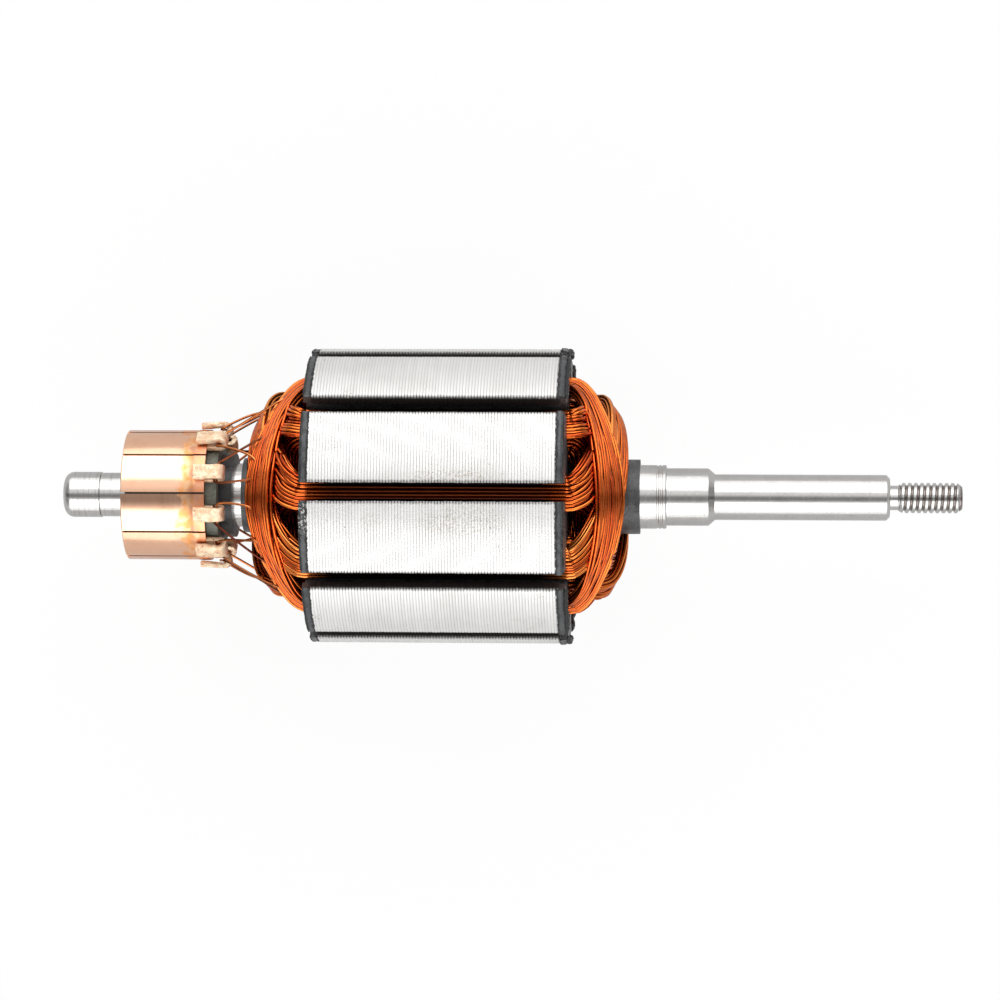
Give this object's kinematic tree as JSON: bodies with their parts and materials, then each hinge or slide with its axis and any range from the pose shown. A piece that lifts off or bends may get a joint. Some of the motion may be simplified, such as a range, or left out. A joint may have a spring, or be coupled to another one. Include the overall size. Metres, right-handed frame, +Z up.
{
  "type": "motor armature",
  "caption": "Wound armature of a small brushed motor: slotted laminated core on a stepped steel shaft with a hook commutator, magnet-wire coils and a threaded output end.",
  "frame": {"origin": "on the shaft's axis at the shoulder of the drive-end bearing seat", "axes": "+X along the shaft towards the threaded end, +Z up out of slot 1 as it lies on two tooth edges, +Y across"},
  "size_m": [0.1881, 0.0622, 0.062],
  "materials": {
    "shaft_steel": "ground and turned, bright",
    "lamination_steel": "ground outside, fine lines across the stack",
    "epoxy_coating": "dark grey epoxy, satin",
    "sleeve_insulation": "dark insulating tube, satin",
    "commutator_resin": "greenish grey moulded resin",
    "black_ring": "black, matt",
    "bar_copper": "turned copper, bright track and rough hooks",
    "magnet_wire": "enamelled copper wire, orange"
  },
  "bodies": {
    "root": {"shaft": "shaft_steel", "lamination_stack": "lamination_steel", "core_insulation": "epoxy_coating", "comm_end_sleeve": "sleeve_insulation", "drive_end_sleeve": "sleeve_insulation", "commutator_hub": "commutator_resin", "commutator_collar": "black_ring", "bar_01": "bar_copper", "bar_02": "bar_copper", "bar_03": "bar_copper", "bar_04": "bar_copper", "bar_05": "bar_copper", "bar_06": "bar_copper", "bar_07": "bar_copper", "bar_08": "bar_copper", "bar_09": "bar_copper", "bar_10": "bar_copper", "coil_01": "magnet_wire", "coil_02": "magnet_wire", "coil_03": "magnet_wire", "coil_04": "magnet_wire", "coil_05": "magnet_wire", "coil_06": "magnet_wire", "coil_07": "magnet_wire", "coil_08": "magnet_wire", "coil_09": "magnet_wire", "coil_10": "magnet_wire", "leads": "magnet_wire"}
  },
  "joints": []
}
